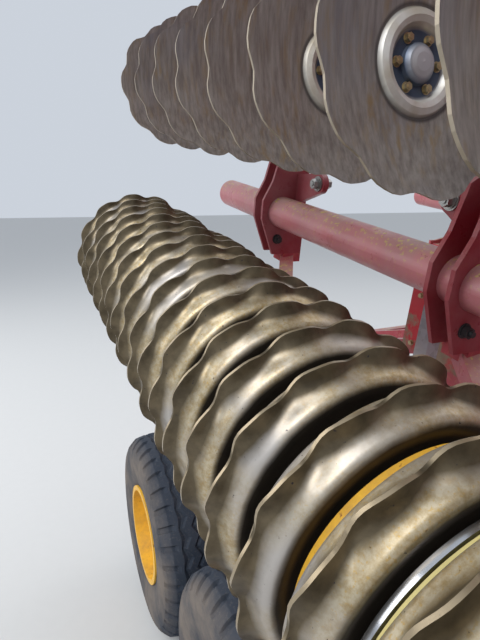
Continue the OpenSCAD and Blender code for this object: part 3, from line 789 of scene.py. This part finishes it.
# Bolts of the frame, by x, f and h of the raked frame
BRACKET_BOLT_X = 0.688
BRACKET_BOLT_H = 0.170
BRACKET_HALF = 0.045
LINK_BOLTS = ((CROSS_F[0] + 0.215, 0.433), (CROSS_F[1] - 0.160, 0.477))
LINK_X = 0.602
LINK_HALF = 0.012
LINK_WASHER_RADIUS = 0.030
LINK_WASHER_THICKNESS = 0.006
LINK_BOLT_FOOT = 0.005
PANEL_FACE_X = 0.308
PANEL_BOLT_F = (0.02, 0.28, 0.54)
PANEL_BOLT_H = (-0.150, 0.055)

# Roller bearings, outwards from the roller's ends
BEARING_FACE = 0.022
BEARING_RADIUS = 0.062
BEARING_THICKNESS = 0.012
BEARING_CAP_RADIUS = 0.044
BEARING_CAP_TOP_RADIUS = 0.038
BEARING_CAP_HEIGHT = 0.018
BEARING_BOLT_COUNT = 4
BEARING_BOLT_CIRCLE = 0.053


class HARROW_OT_frame_bolts(bpy.types.Operator):
    """Bolt the tube brackets, the link lugs, the roller's bearings and the side panels"""

    bl_idname = "harrow.frame_bolts"
    bl_label = "Frame Bolts"

    def execute(self, context):
        for side, sign in SIDES:

            def brackets(bm, sign=sign):
                for f in CROSS_F:
                    for end in (-1, 1):
                        spot = frame_matrix(BRACKET_BOLT_X, f + end * BRACKET_HALF, BRACKET_BOLT_H, sign)
                        add_bolt(bm, facing(spot, (0, end, 0)), across=0.030, shank=0.034)

            def bearing_spots(out, sign=sign):
                for f, end in ((ROLLER_REAR_F - out, -1), (ROLLER_FRONT_F + out, 1)):
                    yield facing(frame_matrix(ROLLER_X, f, ROLLER_H, sign), (0, end, 0))

            def bearings(bm, spots=bearing_spots):
                for spot in spots(BEARING_FACE):
                    add_cylinder(bm, spot, BEARING_RADIUS, BEARING_THICKNESS, 32)
                    add_cylinder(bm, spot, BEARING_CAP_RADIUS, BEARING_CAP_HEIGHT, 32, BEARING_CAP_TOP_RADIUS)

            def bearing_bolts(bm, spots=bearing_spots):
                for spot in spots(BEARING_FACE + BEARING_THICKNESS):
                    for k in range(BEARING_BOLT_COUNT):
                        turned = Matrix.Rotation((k + 0.5) * 2 * math.pi / BEARING_BOLT_COUNT, 4, "Z")
                        foot = Matrix.Translation((BEARING_BOLT_CIRCLE, 0, -BOLT_SINK))
                        add_bolt(bm, spot @ turned @ foot, across=0.014, shank=0.012)

            def link_bolts(bm, sign=sign):
                for f, h in LINK_BOLTS:
                    for end in (-1, 1):
                        spot = facing(frame_matrix(LINK_X + end * LINK_HALF, f, h, sign), (end, 0, 0))
                        add_cylinder(bm, spot, LINK_WASHER_RADIUS, LINK_WASHER_THICKNESS, 24)
                        foot = spot @ Matrix.Translation((0, 0, LINK_BOLT_FOOT))
                        add_bolt(bm, foot, across=0.034, shank=0.030)

            def panel_bolts(bm, sign=sign):
                for f in PANEL_BOLT_F:
                    for h in PANEL_BOLT_H:
                        spot = facing(frame_matrix(PANEL_FACE_X, f, h, sign), (1, 0, 0))
                        add_bolt(bm, spot, across=0.016, shank=0.012)

            wing = f"wing_{side}"
            piece(f"link_bolts_{side}", link_bolts, finish_of("nickel"), wing)
            piece(f"bracket_bolts_{side}", brackets, finish_of("black"), wing)
            piece(f"roller_bearings_{side}", bearings, finish_of("black"), wing, True)
            piece(f"bearing_bolts_{side}", bearing_bolts, finish_of("bolt"), wing)
            piece(f"panel_bolts_{side}", panel_bolts, finish_of("bolt"), "chassis")
        return {"FINISHED"}


# Lamps on the boards: name, x and finish of the lens, and their height over the boards' foot
LAMPS = (("tail", 0.895, "lens"), ("turn", 1.020, "amber"))
LAMP_LIFT = 0.090
SEAT_RADIUS = 0.0505
SEAT_SINK = 0.004
SEAT_THICKNESS = 0.007
LENS_RADIUS = 0.045
LENS_TOP_RADIUS = 0.038
LENS_HEIGHT = 0.009


class HARROW_OT_lamps(bpy.types.Operator):
    """Put round lamps on the lamp boards"""

    bl_idname = "harrow.lamps"
    bl_label = "Lamps"

    def execute(self, context):
        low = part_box("lamp_boards")[0]
        rearwards = Matrix.Rotation(math.pi / 2, 4, "X")
        for side, sign in SIDES:
            for name, x, material in LAMPS:
                back = Matrix.Translation((sign * x, low.y, low.z + LAMP_LIFT)) @ rearwards

                def seat(bm, back=back):
                    foot = back @ Matrix.Translation((0, 0, -SEAT_SINK))
                    add_cylinder(bm, foot, SEAT_RADIUS, SEAT_THICKNESS, 32)

                def lens(bm, back=back):
                    add_cylinder(bm, back, LENS_RADIUS, LENS_HEIGHT, 32, LENS_TOP_RADIUS)

                piece(f"{name}_lamp_seat_{side}", seat, finish_of("black"), "chassis", True)
                piece(f"{name}_lamp_lens_{side}", lens, finish_of(material), "chassis", True)
        return {"FINISHED"}


class HARROW_OT_stage(bpy.types.Operator):
    """Lay the floor and set the light and the camera"""

    bl_idname = "harrow.stage"
    bl_label = "Stage"

    def execute(self, context):
        scene = context.scene
        scene.view_settings.view_transform = "Standard"
        floor_mesh = bpy.data.meshes.new("floor")
        bm = bmesh.new()
        bmesh.ops.create_grid(bm, x_segments=1, y_segments=1, size=60.0)
        bm.to_mesh(floor_mesh)
        bm.free()
        floor = bpy.data.objects.new("floor", floor_mesh)
        floor.location.z = CAD_BOUNDS[0].z - 0.001
        scene.collection.objects.link(floor)
        floor_mesh.materials.append(plain("studio_floor", (0.62, 0.62, 0.61), 0.0, 0.9, 0.02))
        world = bpy.data.worlds.new("studio")
        scene.world = world
        world.use_nodes = True
        world.node_tree.nodes["Background"].inputs["Color"].default_value = (0.80, 0.86, 0.95, 1)
        world.node_tree.nodes["Background"].inputs["Strength"].default_value = 0.75
        self.lamp(scene, "key", (6.5, 2.5, 9.0), 5.0, 620)
        self.lamp(scene, "fill", (7.0, -6.0, 5.0), 6.0, 260)
        self.lamp(scene, "back", (-7.0, -3.0, 8.0), 6.0, 300)
        self.camera(scene)
        return {"FINISHED"}

    def lamp(self, scene, name, place, size, power):
        """A square soft lamp that looks at the machine, right of its middle."""
        light = bpy.data.lights.new(name, "AREA")
        light.size = size
        light.energy = power
        made = bpy.data.objects.new(name, light)
        made.location = place
        aim = Vector((0.5, BOGIE_Y, 1.2)) - Vector(place)
        made.rotation_euler = aim.to_track_quat("-Z", "Y").to_euler()
        scene.collection.objects.link(made)

    def camera(self, scene):
        """The photograph's camera, beside the right wing's root, looking rearwards."""
        turn = math.radians(24.1)
        pitch = math.radians(14.0)
        level = math.cos(pitch)
        aim = Vector((-math.sin(turn) * level, -math.cos(turn) * level, -math.sin(pitch)))
        data = bpy.data.cameras.new("camera")
        data.sensor_fit = "HORIZONTAL"
        data.sensor_width = 36.0
        data.lens = 36.08
        data.clip_start = 0.05
        data.clip_end = 200
        made = bpy.data.objects.new("camera", data)
        made.location = (1.73, BOGIE_Y + 1.444, 1.92)
        made.rotation_euler = aim.to_track_quat("-Z", "Y").to_euler()
        scene.collection.objects.link(made)
        scene.camera = made


STEPS = (HARROW_OT_finishes, HARROW_OT_tyres, HARROW_OT_rollers, HARROW_OT_wheel_bolts,
         HARROW_OT_disc_bolts, HARROW_OT_frame_bolts, HARROW_OT_lamps, HARROW_OT_stage)


class HARROW_PT_panel(bpy.types.Panel):
    """Lists the harrow's dressing steps"""

    bl_label = "Disc Harrow"
    bl_space_type = "VIEW_3D"
    bl_region_type = "UI"
    bl_category = "Harrow"

    def draw(self, context):
        for step in STEPS:
            self.layout.operator(step.bl_idname)


CLASSES = (HarrowColours, TreadSizes, *STEPS, HARROW_PT_panel)


def register():
    for cls in CLASSES:
        bpy.utils.register_class(cls)
    bpy.types.Scene.harrow_colours = PointerProperty(type=HarrowColours)
    bpy.types.Scene.harrow_tread = PointerProperty(type=TreadSizes)


def unregister():
    del bpy.types.Scene.harrow_tread
    del bpy.types.Scene.harrow_colours
    for cls in reversed(CLASSES):
        bpy.utils.unregister_class(cls)


def main():
    """Runs every step."""
    register()
    bpy.ops.harrow.finishes()
    bpy.ops.harrow.tyres()
    bpy.ops.harrow.rollers()
    bpy.ops.harrow.wheel_bolts()
    bpy.ops.harrow.disc_bolts()
    bpy.ops.harrow.frame_bolts()
    bpy.ops.harrow.lamps()
    bpy.ops.harrow.stage()


if __name__ == "__main__":
    main()
